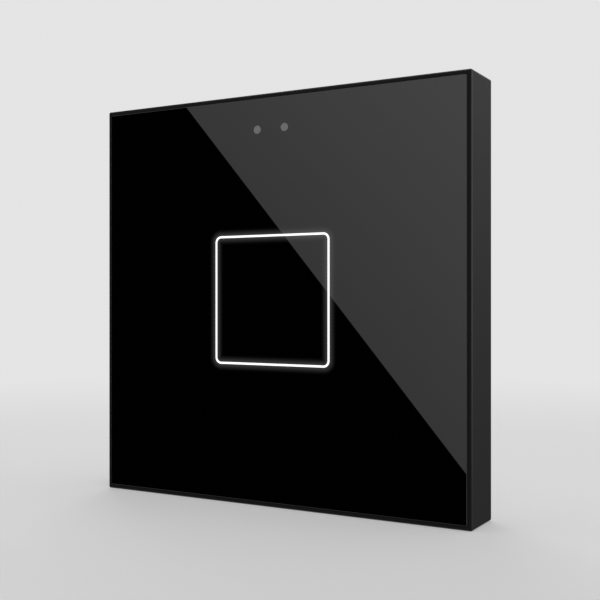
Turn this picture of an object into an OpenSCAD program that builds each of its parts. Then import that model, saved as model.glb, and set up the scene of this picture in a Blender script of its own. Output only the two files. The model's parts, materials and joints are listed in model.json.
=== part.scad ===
// Touch light switch: a square glass-fronted bus panel that four magnets hold on a steel wall plate.
// Each module draws in a flat working frame: x to the right, y up the wall, z out of the wall.
// upright() stands that frame up, so that the front faces -Y, +Z is up and the wall is the plane Y = 0.

/* [Frame] */
// Width and height of the square panel
panel_w = 81; // [79:0.5:90]
// Gap between the frame's back edge and the wall
wall_gap = 0.5; // [0.3:0.1:0.8]
// Radius of the frame's outer corners
corner_r = 0.4; // [0.3:0.1:1]
// Bevel along the frame's front edge
front_bevel = 0.15; // [0.1:0.05:0.35]
// Thickness of the frame's side walls
side_wall = 1.6; // [1.3:0.1:2]
// Width of the rim that shows round the glass
rim_w = 0.8; // [0.6:0.1:1.1]
// Thickness of the deck that carries the glass
deck_t = 1.4; // [1:0.1:2]
// Clearance between pieces that fit into each other
fit = 0.1; // [0.05:0.05:0.2]

/* [Glass] */
// Thickness of the front glass
glass_t = 1.1; // [0.7:0.1:2]
// Height of the glass above the rim
glass_proud = 0.3; // [0.1:0.1:0.5]
// Radius of the glass corners
glass_r = 0.3; // [0.3:0.1:1]
// Ground bevel round the front of the glass
glass_bevel = 0.1; // [0.1:0.05:0.25]
// Thickness of the black masking film
film_t = 0.1; // [0.1:0.05:0.3]
// Thickness of the adhesive sheet behind the film
tape_t = 0.2; // [0.1:0.05:0.4]

/* [Light square] */
// Side of the lit square, to the middle of its line
ring_w = 25.2; // [22:0.1:27]
// Width of the lit line
line_w = 0.4; // [0.3:0.1:1]
// Corner radius of the lit line, to its middle
line_r = 1.1; // [0.8:0.1:2]
// Wall of the light guide behind the line
guide_wall = 1.8; // [1.4:0.1:2]
// Wall of the light trap moulded round the light guide
trap_wall = 1; // [0.8:0.1:1.4]
// LEDs on each side of the square
leds_per_side = 3; // [2:1:4]
// Distance between neighbouring LEDs
led_step = 6.5; // [3:0.5:7]
// Length and width of one LED
led_size = [1.6, 0.8]; // [0.6:0.1:1.8]
// Height of one LED
led_h = 0.75; // [0.5:0.05:1]
// Air between the LEDs and the light guide
led_air = 0.1; // [0.05:0.05:0.2]
// Margin of the touch electrode inside the key block
electrode_margin = 0.8; // [0.5:0.1:2]
// Thickness of the contact spring's strip
contact_t = 0.15; // [0.1:0.05:0.3]
// Width of the contact spring
contact_w = 2.2; // [1.5:0.1:3]
// Length of the contact spring's two flat arms
contact_arm = 2.2; // [1.5:0.1:3]

/* [Sensors] */
// Distance between the two sensor windows
sensor_pitch = 6.1; // [5:0.1:8]
// Distance of the windows below the panel's top edge
sensor_inset = 7; // [6:0.1:9]
// Diameter of a sensor window
window_d = 1.6; // [1:0.1:2]
// Rubber round each sensor bore
boot_wall = 1.5; // [1.2:0.1:2]
// Length and width of a sensor chip
sensor_size = [2.4, 1.8]; // [1.5:0.1:2.8]
// Height of a sensor chip
sensor_h = 0.7; // [0.5:0.1:1]

/* [Circuit board] */
// Thickness of the board
board_t = 1.2; // [0.8:0.1:1.6]
// Gap between the board and the panel's top and bottom walls
board_margin = 1.5; // [1:0.1:3]
// Space between the deck and the board, for the LEDs
light_gap = 2.2; // [1.7:0.1:3]
// Space between the board and the rear cover, for the parts on the back
part_space = 2.4; // [2.1:0.1:3]
// Diameter of the posts that clamp the board
post_d = 4; // [3.4:0.1:5]
// Diameter of the pins that locate the board
locator_d = 1.8; // [1.4:0.1:2]
// Height of the posts and the pegs above and below the panel's middle
post_y = 14; // [11:0.5:16]

/* [Parts on the board] */
// Length and width of the microcontroller
mcu_size = [7, 7]; // [5:0.1:8]
// Length and width of the bus transceiver
transceiver_size = [7.2, 5.3]; // [4:0.1:8]
// Length and width of the crystal
crystal_size = [3.2, 2.5]; // [2:0.1:4]
// Diameter of the bus choke
choke_d = 5; // [3:0.1:5.5]
// Length and width of a buffer capacitor
capacitor_size = [3.5, 2.8]; // [2:0.1:4]
// Length and width of the surge diode
diode_size = [4.3, 2.6]; // [2:0.1:5]
// Length and width of the voltage regulator
regulator_size = [4.5, 2.5]; // [2:0.1:5]
// Length and width of the temperature sensor
thermometer_size = [2, 1.6]; // [1.4:0.1:3]
// Length and width of a small resistor or capacitor
passive_size = [1.6, 0.8]; // [0.6:0.1:2]
// Height of the choke and the capacitors
tall_h = 1.8; // [1.2:0.1:1.9]
// Height of the moulded chips
chip_h = 1.3; // [0.9:0.1:1.8]
// Height of the small parts
small_h = 0.6; // [0.4:0.1:1]

/* [Bus terminal] */
// Height of the terminal's middle above the panel's middle
bus_y = -16; // [-16.5:0.1:-14]
// Width of one pole of the terminal
pole_w = 5.75; // [5:0.05:6.5]
// Height of the terminal
terminal_h = 10; // [8:0.1:11]
// Depth of the terminal
terminal_depth = 11; // [10:0.1:14]
// Diameter of a bus pin
pin_d = 1; // [0.8:0.1:1.2]
// Length of a bus pin inside the terminal
pin_reach = 5.6; // [4:0.1:6]
// Diameter of a wire entry
wire_d = 1.2; // [1:0.1:1.4]
// Depth of a wire entry, without its funnel
wire_depth = 5; // [4:0.1:6]
// Distance between the wire entries across the pole
wire_step_x = 2.6; // [2.4:0.1:3]
// Distance between the wire entries up the pole
wire_step_y = 6; // [5:0.1:6.5]
// Wall of the brass sleeve round a pin
sleeve_wall = 0.5; // [0.3:0.1:0.6]
// Free space round the terminal in the rear cover
terminal_gap = 0.3; // [0.2:0.1:0.6]

/* [Programming button] */
// Place of the button across and up the panel
button_at = [14, 12]; // [8:0.5:16]
// Diameter of the button
button_d = 3.6; // [2.5:0.1:4.5]
// Travel of the button
button_travel = 0.25; // [0.15:0.05:0.35]
// Distance of the programming light below the button
pilot_drop = 8; // [6:0.5:10]
// Diameter of the programming light's pipe
pilot_d = 2; // [1.5:0.1:3]

/* [Rear cover] */
// Wall of the rear cover
cover_wall = 1.2; // [1:0.1:1.6]
// Diameter of a magnet
magnet_d = 8; // [6:0.5:9]
// Thickness of a magnet
magnet_t = 1.5; // [1.2:0.1:1.8]
// Height of the magnets above the cover's back
magnet_proud = 0.3; // [0.2:0.1:0.5]
// Diameter of a cover screw
screw_d = 2; // [1.6:0.1:2.2]
// Diameter of a cover screw's head
head_d = 3.8; // [3.2:0.1:4]
// Height of a cover screw's head
head_h = 1.2; // [0.8:0.1:1.4]
// Depth of a cover screw in its boss
screw_bite = 3.2; // [2:0.1:3.5]
// Height of the cover screws above and below the panel's middle
screw_y = 20; // [19:0.5:22]
// Number of cooling slots
vents = 5; // [3:1:7]
// Length of a cooling slot
vent_l = 8; // [5:0.5:10]
// Width of a cooling slot
vent_w = 1.2; // [0.8:0.1:1.5]

/* [Wall plate] */
// Thickness of the steel plate
plate_t = 1.2; // [1:0.1:1.5]
// Gap between the plate and the frame round it
plate_gap = 2.9; // [1.5:0.1:3.2]
// Radius of the plate's corners
plate_r = 6; // [3:0.5:8]
// Side of the square cable window in the plate
cable_window = 46; // [44:0.5:48]
// Distance between opposite wall box screws
box_pitch = 60; // [59:0.1:61]
// Width of a slot for a wall box screw
slot_w = 4; // [3.6:0.1:4.4]
// Length of such a slot, end to end
slot_l = 8; // [6:0.5:9]
// Diameter of the pegs that hang the panel on the plate
peg_d = 4; // [3:0.1:5]
// Clearance round a peg
peg_gap = 0.15; // [0.1:0.05:0.3]
// Diameter allowed for the head of a wall box screw
box_head_d = 7; // [6:0.1:7.5]

/* [Hidden] */
$fn = 64;
eps = 0.5; // how far a cut runs past the face that it opens
thin_floor = 0.7; // moulded floor over a pocket
cup_wall = 1; // moulded wall round a pocket

// The stack, from the wall outwards
cover_z = plate_t + magnet_proud;
cover_in_z = cover_z + cover_wall;
board_back_z = cover_in_z + part_space;
board_front_z = board_back_z + board_t;
deck_back_z = board_front_z + light_gap;
deck_z = deck_back_z + deck_t;
film_back_z = deck_z + tape_t;
glass_back_z = film_back_z + film_t;
glass_front_z = glass_back_z + glass_t;
rim_z = glass_front_z - glass_proud;

// The frame and what fits into it
cavity_w = panel_w - 2 * side_wall;
cavity_r = corner_r;
pocket_w = panel_w - 2 * rim_w;
glass_w = pocket_w - 2 * fit;
film_w = glass_w - 2 * glass_bevel;
cover_w = cavity_w - 2 * fit;
plate_w = cavity_w - 2 * plate_gap;
magnet_at = (cable_window + plate_w) / 4;
peg_at = [magnet_at, post_y];

// The light square
guide_out = ring_w + guide_wall;
guide_in = ring_w - guide_wall;
guide_out_r = line_r + guide_wall / 2;
guide_in_r = max(line_r - guide_wall / 2, fit);
guide_z = board_front_z + led_h + led_air;
trap_in = guide_out + 2 * fit;
trap_in_r = guide_out_r + fit;
trap_out = trap_in + 2 * trap_wall;
key_w = guide_in - 2 * fit;
key_r = guide_in_r + fit;
led_row = (leds_per_side - 1) * led_step + led_size.x;
led_channel = led_row + 2 * led_size.y;
contact_h = deck_z - board_front_z;
contact_hole = [contact_arm + contact_h / 2 + 4 * fit, contact_w + 4 * fit];

// The sensors
sensor_y = panel_w / 2 - sensor_inset;
boot_size = [sensor_pitch + window_d + 2 * boot_wall, window_d + 2 * boot_wall];
boot_r = 1;
pipe_d = window_d - fit;
sensor_pocket_z = board_front_z + sensor_h + fit;

// The screw bosses and the board between them
boss_wall = 1.25;
boss_gap = 1; // between a boss and the side wall
boss_d = screw_d + 2 * boss_wall;
head_sink = 0.2; // depth of a screw head under the cover's back
clamp_t = 1; // plastic under a screw head
seat_z = cover_z + head_sink + head_h + clamp_t;
bore_room = 0.3; // bore past the end of a screw
boss_x = cavity_w / 2 - boss_d / 2 - boss_gap;
board_w = 2 * (boss_x - boss_d / 2) - boss_gap;
board_h = cavity_w - 2 * board_margin;
board_r = 2;

// The head pockets over the wall box screws
head_room = 1; // space round the head of a wall box screw
head_pocket_w = box_head_d + 2 * head_room;
head_pocket_l = head_pocket_w + slot_l - slot_w;
head_pocket_z = board_back_z - 2 * fit - thin_floor;

// The vents
vent_at = [-magnet_at / 2, -1];

// The bus terminal
bus_at = [0, bus_y];
terminal_z = cover_in_z + fit;
terminal_back_z = terminal_z - terminal_depth;
header_z = terminal_z + fit;
pin_tip_z = terminal_z - pin_reach;
running_gap = 0.03; // between a pin and its sleeve
sleeve_d = pin_d + 2 * running_gap + 2 * sleeve_wall;
sleeve_spare = 0.6; // sleeve past the pin's tip
socket_spare = 0.4; // socket past the sleeve
sleeve_z = pin_tip_z - sleeve_spare;
socket_z = sleeve_z - socket_spare;
funnel = 0.4; // depth and flare of a wire entry's mouth
tongue = [0.6, 2]; // depth and height of the tongue that joins the two poles

// The programming button and its light
stem_d = 1.4;
flange_lip = 0.7; // flange past the button's side
flange_d = button_d + 2 * flange_lip;
flange_t = 0.4;
flange_z = cover_in_z + fit / 2;
switch_z = flange_z + flange_t + button_travel + fit;
stem_bite = 0.4; // stem inside the switch
stem_z = switch_z + stem_bite;
switch_size = [5.2, 5.2, board_back_z - switch_z];
pilot_at = button_at - [0, pilot_drop];
pilot_flange = [pilot_d + 1.2, 0.6];

// Where the parts on the board's back sit
mcu_at = [-12, 8];
transceiver_at = [-14, -8];
crystal_at = [-4, 8];
choke_at = [12, -15];
capacitor_at = [[13, -6], [18.5, -6]];
diode_at = [14, -23];
regulator_at = [4.5, -3];
thermometer_at = [20, 24];
passive_rows = [[-12, 15.5], [-14, -14], [5, 20], [4.5, -8]]; // middle of each row
passive_counts = [6, 5, 3, 3];
passive_step = 2.4;
cap_lip = 0.05; // how far a metal cap stands out

// Working tools

// Stands the flat working frame up against the wall
module upright() {
    rotate([90, 0, 0]) children();
}

// Copies its children to (+-x, +-y)
module four(x, y) {
    for (sx = [-1, 1], sy = [-1, 1])
        translate([sx * x, sy * y, 0]) children();
}

// Copies its children to the two sensor windows
module at_sensors() {
    for (sx = [-1, 1])
        translate([sx * sensor_pitch / 2, sensor_y, 0]) children();
}

module round_rect(w, h, r) {
    square([w - 2 * r, h], center = true);
    square([w, h - 2 * r], center = true);
    four(w / 2 - r, h / 2 - r) circle(r);
}

// Upright block with round corners between two heights
module block(w, h, r, z0, z1) {
    translate([0, 0, z0]) linear_extrude(z1 - z0) round_rect(w, h, r);
}

// Upright block with square corners between two heights
module slab(w, h, z0, z1) {
    translate([-w / 2, -h / 2, z0]) cube([w, h, z1 - z0]);
}

// Upright round bar between two heights
module bar(d, z0, z1) {
    translate([0, 0, z0]) cylinder(d = d, h = z1 - z0);
}

// Block whose front edge is bevelled all round
module bevelled_block(w, r, bevel, z0, z1) {
    side = w - 2 * r;
    wide = w / 2;
    narrow = w / 2 - bevel;
    block(w, w, r, z0, z1 - bevel);
    translate([0, 0, z1 - bevel]) {
        for (turn = [0, 90])
            rotate([90, 0, turn])
                translate([0, 0, -side / 2])
                    linear_extrude(side)
                        polygon([[-wide, 0], [wide, 0], [narrow, bevel], [-narrow, bevel]]);
        four(side / 2, side / 2) cylinder(r1 = r, r2 = r - bevel, h = bevel);
    }
}

// Slot with round ends along x, from end to end l
module slot_block(l, w, z0, z1) {
    slab(l - w, w, z0, z1);
    for (sx = [-1, 1])
        translate([sx * (l - w) / 2, 0, 0]) bar(w, z0, z1);
}

// Copies its children to the four wall box screws, with x along the radius
module at_box_screws() {
    for (turn = [0 : 90 : 270])
        rotate([0, 0, turn]) translate([box_pitch / 2, 0, 0]) children();
}

// Puts its children on the back of the board, with z away from the board
module on_board_back(at) {
    translate([at.x, at.y, board_back_z]) mirror([0, 0, 1]) children();
}

// Moulded chip with legs along two or four sides
module chip(size, h, legs, sides) {
    leg = [0.8, 0.3, 0.2];
    slab(size.x, size.y, leg.z / 2, h);
    for (side = [0 : sides - 1]) {
        along = sides == 4 ? 90 * side : 180 * side + 90;
        edge = along % 180 == 0 ? size.x / 2 : size.y / 2;
        row = along % 180 == 0 ? size.y : size.x;
        for (i = [1 : legs])
            rotate([0, 0, along])
                translate([edge + leg.x / 4, row * (i - (legs + 1) / 2) / (legs + 1), 0])
                    slab(leg.x, leg.y, 0, leg.z);
    }
}

// Two-ended part with metal caps
module capped_part(size, h) {
    cap = size.x / 5;
    slab(size.x, size.y, 0, h - cap_lip);
    for (sx = [-1, 1])
        translate([sx * (size.x - cap) / 2, 0, 0]) slab(cap, size.y + 2 * cap_lip, 0, h);
}

// The wall plate

// Stamped steel plate with a cable window, four radial screw slots, two peg holes and an up mark
module mounting_plate() {
    mark = [14, 3];
    color("silver") upright() difference() {
        block(plate_w, plate_w, plate_r, 0, plate_t);
        block(cable_window, cable_window, plate_r, -eps, plate_t + eps);
        at_box_screws() slot_block(slot_l, slot_w, -eps, plate_t + eps);
        for (sx = [-1, 1])
            translate([sx * peg_at.x, peg_at.y, 0])
                bar(peg_d + 2 * peg_gap, -eps, plate_t + eps);
        translate([mark.x, magnet_at, -eps])
            linear_extrude(plate_t + 2 * eps)
                polygon([[-mark.y / 2, -mark.y / 2], [mark.y / 2, -mark.y / 2], [0, mark.y / 2]]);
    }
}

// The front

// Moulded frame: side walls, the rim round the glass, the deck, the light trap, bosses and posts
module front_frame() {
    color([0.16, 0.16, 0.17]) upright() {
        difference() {
            bevelled_block(panel_w, corner_r, front_bevel, wall_gap, rim_z);
            block(pocket_w, pocket_w, glass_r + fit, deck_z, rim_z + eps);
            block(cavity_w, cavity_w, cavity_r, wall_gap - eps, deck_back_z);
            block(trap_in, trap_in, trap_in_r, deck_back_z - eps, deck_z + eps);
            translate([0, sensor_y, 0])
                block(boot_size.x + 2 * fit, boot_size.y + 2 * fit, boot_r + fit,
                    deck_back_z - eps, deck_z + eps);
        }
        difference() {
            block(trap_out, trap_out, trap_in_r + trap_wall, board_front_z, deck_back_z);
            block(trap_in, trap_in, trap_in_r, board_front_z - eps, deck_back_z + eps);
        }
        four(boss_x, screw_y) difference() {
            bar(boss_d, seat_z, deck_back_z);
            bar(screw_d, seat_z - eps, seat_z + screw_bite + bore_room);
        }
        four(peg_at.x, post_y) {
            bar(post_d, board_front_z, deck_back_z);
            bar(locator_d, board_back_z - part_space / 3, board_front_z);
        }
    }
}

// Front glass with a ground edge
module front_glass() {
    color([0.02, 0.02, 0.02, 0.5]) upright()
        bevelled_block(glass_w, glass_r, glass_bevel, glass_back_z, glass_front_z);
}

// Black film behind the glass, with the lit line and the sensor windows left clear
module mask_film() {
    line_out = ring_w + line_w;
    line_in = ring_w - line_w;
    color([0.01, 0.01, 0.01]) upright() {
        difference() {
            block(film_w, film_w, glass_r, film_back_z, glass_back_z);
            block(line_out, line_out, line_r + line_w / 2, film_back_z - eps, glass_back_z + eps);
            at_sensors() bar(window_d, film_back_z - eps, glass_back_z + eps);
        }
        block(line_in, line_in, line_r - line_w / 2, film_back_z, glass_back_z);
    }
}

// Double-sided sheet that bonds the film to the deck
module adhesive_sheet() {
    color([0.1, 0.1, 0.1]) upright() difference() {
        block(film_w, film_w, glass_r, deck_z, film_back_z);
        block(trap_in, trap_in, trap_in_r, deck_z - eps, film_back_z + eps);
        translate([0, sensor_y, 0])
            block(boot_size.x + 2 * fit, boot_size.y + 2 * fit, boot_r + fit,
                deck_z - eps, film_back_z + eps);
    }
}

// The light square and the touch key

// Milky square light guide, standing on four corner legs over the LEDs
module light_guide() {
    color("white") upright() difference() {
        block(guide_out, guide_out, guide_out_r, board_front_z, film_back_z);
        block(guide_in, guide_in, guide_in_r, board_front_z - eps, film_back_z + eps);
        for (turn = [0 : 90 : 270])
            rotate([0, 0, turn]) translate([0, ring_w / 2, 0])
                slab(led_channel, 2 * guide_wall, board_front_z - eps, guide_z);
    }
}

// Black block inside the light guide that backs the touch electrode
module key_block() {
    color([0.05, 0.05, 0.05]) upright() difference() {
        block(key_w, key_w, key_r, board_front_z, deck_z);
        translate([contact_h / 4, 0, 0])
            slab(contact_hole.x, contact_hole.y, board_front_z - eps, deck_z + eps);
    }
}

// Copper foil behind the middle of the glass
module touch_electrode() {
    foil_w = key_w - 2 * electrode_margin;
    color("peru") upright() block(foil_w, foil_w, key_r, deck_z, film_back_z);
}

// Folded strip that presses the electrode's back from the board
module electrode_contact() {
    out_r = contact_h / 2;
    color("gold") upright() translate([0, contact_w / 2, board_front_z])
        rotate([90, 0, 0]) linear_extrude(contact_w) {
            translate([-contact_arm / 2, 0]) square([contact_arm, contact_t]);
            translate([-contact_arm / 2, contact_h - contact_t]) square([contact_arm, contact_t]);
            translate([contact_arm / 2, out_r]) intersection() {
                difference() {
                    circle(out_r);
                    circle(out_r - contact_t);
                }
                translate([0, -out_r]) square([out_r, 2 * out_r]);
            }
        }
}

// LEDs on the board under the light guide
module ring_leds() {
    color("ivory") upright()
        for (turn = [0 : 90 : 270], i = [1 : leds_per_side])
            rotate([0, 0, turn])
                translate([led_step * (i - (leds_per_side + 1) / 2), ring_w / 2, 0])
                    slab(led_size.x, led_size.y, board_front_z, board_front_z + led_h);
}

// The sensors

// Rubber boot that keeps the two sensors apart from each other and from the light square
module sensor_boot() {
    color([0.08, 0.08, 0.08]) upright() difference() {
        translate([0, sensor_y, 0])
            block(boot_size.x, boot_size.y, boot_r, board_front_z, film_back_z);
        at_sensors() {
            bar(window_d, board_front_z - eps, film_back_z + eps);
            slab(sensor_size.x + 2 * fit, sensor_size.y + 2 * fit, board_front_z - eps, sensor_pocket_z);
        }
    }
}

// Clear pipes that end at the two windows
module sensor_light_pipes() {
    color([0.6, 0.6, 0.6]) upright() at_sensors() bar(pipe_d, sensor_pocket_z, film_back_z);
}

// Sensor chip at one of the two windows
module sensor_chip(side) {
    upright() translate([side * sensor_pitch / 2, sensor_y, 0])
        slab(sensor_size.x, sensor_size.y, board_front_z, board_front_z + sensor_h);
}

module proximity_sensor() {
    color([0.1, 0.1, 0.12]) sensor_chip(-1);
}

module ambient_light_sensor() {
    color([0.7, 0.72, 0.7]) sensor_chip(1);
}

// The circuit board and its parts

// Board between the screw bosses, with holes for the bus pins and the locating pins
module circuit_board() {
    color([0.05, 0.25, 0.12]) upright() difference() {
        block(board_w, board_h, board_r, board_back_z, board_front_z);
        at_pins() bar(pin_d + fit, board_back_z - eps, board_front_z + eps);
        four(peg_at.x, post_y) bar(locator_d + 2 * fit, board_back_z - eps, board_front_z + eps);
    }
}

module microcontroller() {
    color([0.07, 0.07, 0.07]) upright() on_board_back(mcu_at) chip(mcu_size, chip_h, 8, 4);
}

module bus_transceiver() {
    color([0.07, 0.07, 0.07]) upright() on_board_back(transceiver_at) chip(transceiver_size, chip_h, 7, 2);
}

// Metal can on a ceramic base
module crystal() {
    base = small_h / 2;
    color("silver") upright() on_board_back(crystal_at) {
        slab(crystal_size.x, crystal_size.y, 0, base);
        slab(crystal_size.x - base, crystal_size.y - base, base, small_h);
    }
}

// Ferrite drum with its winding on a square base
module bus_choke() {
    flange = tall_h / 4;
    core_d = choke_d - 2 * flange;
    color([0.2, 0.2, 0.2]) upright() on_board_back(choke_at) {
        slab(choke_d, choke_d, 0, flange);
        bar(core_d, flange, tall_h - flange);
        bar(choke_d, tall_h - flange, tall_h);
    }
}

module buffer_capacitors() {
    color([0.85, 0.65, 0.2]) upright()
        for (at = capacitor_at)
            on_board_back(at) capped_part(capacitor_size, tall_h);
}

module surge_diode() {
    color([0.1, 0.1, 0.1]) upright() on_board_back(diode_at) chip(diode_size, chip_h, 1, 2);
}

module voltage_regulator() {
    color([0.1, 0.1, 0.1]) upright() on_board_back(regulator_at) chip(regulator_size, chip_h, 3, 2);
}

module temperature_sensor() {
    color([0.12, 0.12, 0.12]) upright() on_board_back(thermometer_at) chip(thermometer_size, small_h, 3, 2);
}

// Rows of small resistors and capacitors
module passive_parts() {
    color([0.55, 0.45, 0.35]) upright()
        for (row = [0 : len(passive_rows) - 1], i = [1 : passive_counts[row]])
            on_board_back(passive_rows[row] + [passive_step * (i - (passive_counts[row] + 1) / 2), 0])
                capped_part(passive_size, small_h);
}

// The programming button and its light

// Short-stroke switch body on the back of the board
module program_switch() {
    color([0.15, 0.15, 0.15]) upright() translate(button_at) difference() {
        slab(switch_size.x, switch_size.y, switch_z, board_back_z);
        bar(stem_d + 2 * fit, switch_z - eps, stem_z + button_travel + fit);
    }
}

// Button in the rear cover, with the flange that keeps it in and the stem that works the switch
module program_button() {
    color("firebrick") upright() translate(button_at) {
        bar(button_d, cover_z + fit, flange_z);
        bar(flange_d, flange_z, flange_z + flange_t);
        bar(stem_d, flange_z + flange_t, stem_z);
    }
}

module program_led() {
    color("red") upright() on_board_back(pilot_at) capped_part(led_size, small_h);
}

// Clear pipe that shows the programming light at the back
module program_light_pipe() {
    color([0.8, 0.8, 0.8]) upright() translate(pilot_at) {
        bar(pilot_d, cover_z, cover_in_z);
        bar(pilot_flange.x, cover_in_z, cover_in_z + pilot_flange.y);
        bar(pilot_d, cover_in_z + pilot_flange.y, board_back_z - small_h - 2 * fit);
    }
}

// The bus terminal

// Copies its children to the two bus pins
module at_pins() {
    for (sx = [-1, 1])
        translate([bus_at.x + sx * pole_w / 2, bus_at.y, 0]) children();
}

// Base that holds the pins on the board
module bus_header() {
    color([0.1, 0.1, 0.1]) upright() difference() {
        translate(bus_at) slab(2 * pole_w, terminal_h, header_z, board_back_z);
        at_pins() bar(pin_d + fit / 2, header_z - eps, board_back_z + eps);
    }
}

// Tinned pins with a tapered tip
module bus_pins() {
    taper = 0.5;
    color("gainsboro") upright() at_pins() {
        bar(pin_d, pin_tip_z + taper, board_front_z);
        translate([0, 0, pin_tip_z]) cylinder(d1 = pin_d / 2, d2 = pin_d, h = taper);
    }
}

// One pole of the push-in terminal: sleeve socket, four funnelled wire entries and grip grooves
module terminal_pole(side) {
    groove = [0.3, 0.8];
    outer_x = side * (pole_w / 2 - running_gap);
    translate([bus_at.x + side * pole_w / 2, bus_at.y, 0]) difference() {
        translate([side * running_gap / 2, 0, 0])
            slab(pole_w - running_gap, terminal_h, terminal_back_z, terminal_z);
        bar(sleeve_d + fit, socket_z, terminal_z + eps);
        four(wire_step_x / 2, wire_step_y / 2) {
            bar(wire_d, terminal_back_z - eps, terminal_back_z + funnel + wire_depth);
            translate([0, 0, terminal_back_z])
                cylinder(d1 = wire_d + 2 * funnel, d2 = wire_d, h = funnel);
        }
        for (i = [1 : 3])
            translate([outer_x, 0, terminal_back_z + 2 * i * groove.y])
                slab(2 * groove.x, terminal_h + eps, 0, groove.y);
    }
}

// Tongue on the inner face of one pole, or its groove when room is given
module pole_tongue(room) {
    translate(bus_at)
        translate([-tongue.x - room, -tongue.y / 2 - room, terminal_back_z])
            cube([tongue.x + room + running_gap, tongue.y + 2 * room, terminal_depth]);
}

module terminal_plus() {
    color("firebrick") upright() {
        terminal_pole(1);
        pole_tongue(0);
    }
}

module terminal_minus() {
    color([0.15, 0.15, 0.15]) upright() difference() {
        terminal_pole(-1);
        translate([0, 0, -eps]) pole_tongue(fit);
        translate([0, 0, eps]) pole_tongue(fit);
    }
}

// Brass sleeves in the terminal that slide over the pins
module terminal_sleeves() {
    color("goldenrod") upright() at_pins() difference() {
        bar(sleeve_d, sleeve_z, terminal_z);
        bar(pin_d + 2 * running_gap, sleeve_z - eps, terminal_z + eps);
    }
}

// The rear cover

// What stands on the cover's inside: magnet cups, head pockets, board posts and screw pads
module cover_inside() {
    four(magnet_at, magnet_at)
        bar(magnet_d + 2 * cup_wall, cover_in_z, plate_t + magnet_t + thin_floor);
    at_box_screws()
        slot_block(head_pocket_l + 2 * cup_wall, head_pocket_w + 2 * cup_wall,
            cover_in_z, head_pocket_z + thin_floor);
    four(peg_at.x, post_y) bar(post_d, cover_in_z, board_back_z);
    four(boss_x, screw_y) bar(boss_d, cover_in_z, seat_z);
}

// Moulded cover that closes the frame at the back and hangs on the wall plate by two pegs
module rear_cover() {
    vent_step = 2 * vent_w;
    color([0.12, 0.12, 0.13]) upright() {
        difference() {
            union() {
                block(cover_w, cover_w, cavity_r, cover_z, cover_in_z);
                cover_inside();
            }
            four(magnet_at, magnet_at) bar(magnet_d, cover_z - eps, plate_t + magnet_t);
            at_box_screws() slot_block(head_pocket_l, head_pocket_w, cover_z - eps, head_pocket_z);
            four(peg_at.x, post_y)
                bar(locator_d + 2 * fit, board_back_z - part_space / 2, board_back_z + eps);
            four(boss_x, screw_y) {
                bar(screw_d + 2 * fit, cover_z - eps, seat_z + eps);
                bar(head_d + 4 * fit, cover_z - eps, seat_z - clamp_t);
            }
            translate(bus_at)
                slab(2 * (pole_w + terminal_gap), terminal_h + 2 * terminal_gap,
                    cover_z - eps, cover_in_z + eps);
            translate(button_at) bar(button_d + 2 * fit, cover_z - eps, cover_in_z + eps);
            translate(pilot_at) bar(pilot_d + fit, cover_z - eps, cover_in_z + eps);
            for (i = [1 : vents])
                translate([vent_at.x, vent_at.y + vent_step * (i - (vents + 1) / 2), 0])
                    slot_block(vent_l, vent_w, cover_z - eps, cover_in_z + eps);
        }
        for (sx = [-1, 1])
            translate([sx * peg_at.x, peg_at.y, 0]) bar(peg_d, plate_t / 4, cover_z);
    }
}

// Disc magnets in the cover's cups, flat on the wall plate
module magnets() {
    color("lightgray") upright()
        four(magnet_at, magnet_at) bar(magnet_d - fit, plate_t, plate_t + magnet_t);
}

// Cross-head screws that hold the rear cover to the frame
module cover_screws() {
    head_z = cover_z + head_sink;
    cross = [0.6, 2.2];
    color("dimgray") upright() four(boss_x, screw_y) {
        difference() {
            bar(head_d, head_z, head_z + head_h);
            slab(cross.x, cross.y, head_z - eps, head_z + head_h / 2);
            slab(cross.y, cross.x, head_z - eps, head_z + head_h / 2);
        }
        bar(screw_d - fit, head_z + head_h, seat_z + screw_bite);
    }
}

mounting_plate();
front_frame();
front_glass();
mask_film();
adhesive_sheet();
light_guide();
key_block();
touch_electrode();
electrode_contact();
ring_leds();
sensor_boot();
sensor_light_pipes();
proximity_sensor();
ambient_light_sensor();
circuit_board();
microcontroller();
bus_transceiver();
crystal();
bus_choke();
buffer_capacitors();
surge_diode();
voltage_regulator();
temperature_sensor();
passive_parts();
program_switch();
program_led();
program_light_pipe();
program_button();
bus_header();
bus_pins();
rear_cover();
magnets();
cover_screws();
terminal_plus();
terminal_minus();
terminal_sleeves();
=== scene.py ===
# %% [markdown]
# # A touch light switch in black glass
# The switch is a slim square panel on a wall: black glass in a thin grey frame, a lit square in the middle
# and two small sensor windows near the top. All of it could be modelled here, but its pieces have to fit
# and move, so their solids arrive as a fixed frame, at their real size. This lesson gives every piece its
# finish and its fine detail, sets up a small studio and puts the camera where the photographer stood.
# Lengths are in metres, the front faces -Y and +Z is up.

# %% Load the frame
import json
import math

import bmesh
import bpy
from mathutils import Matrix, Vector

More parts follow.
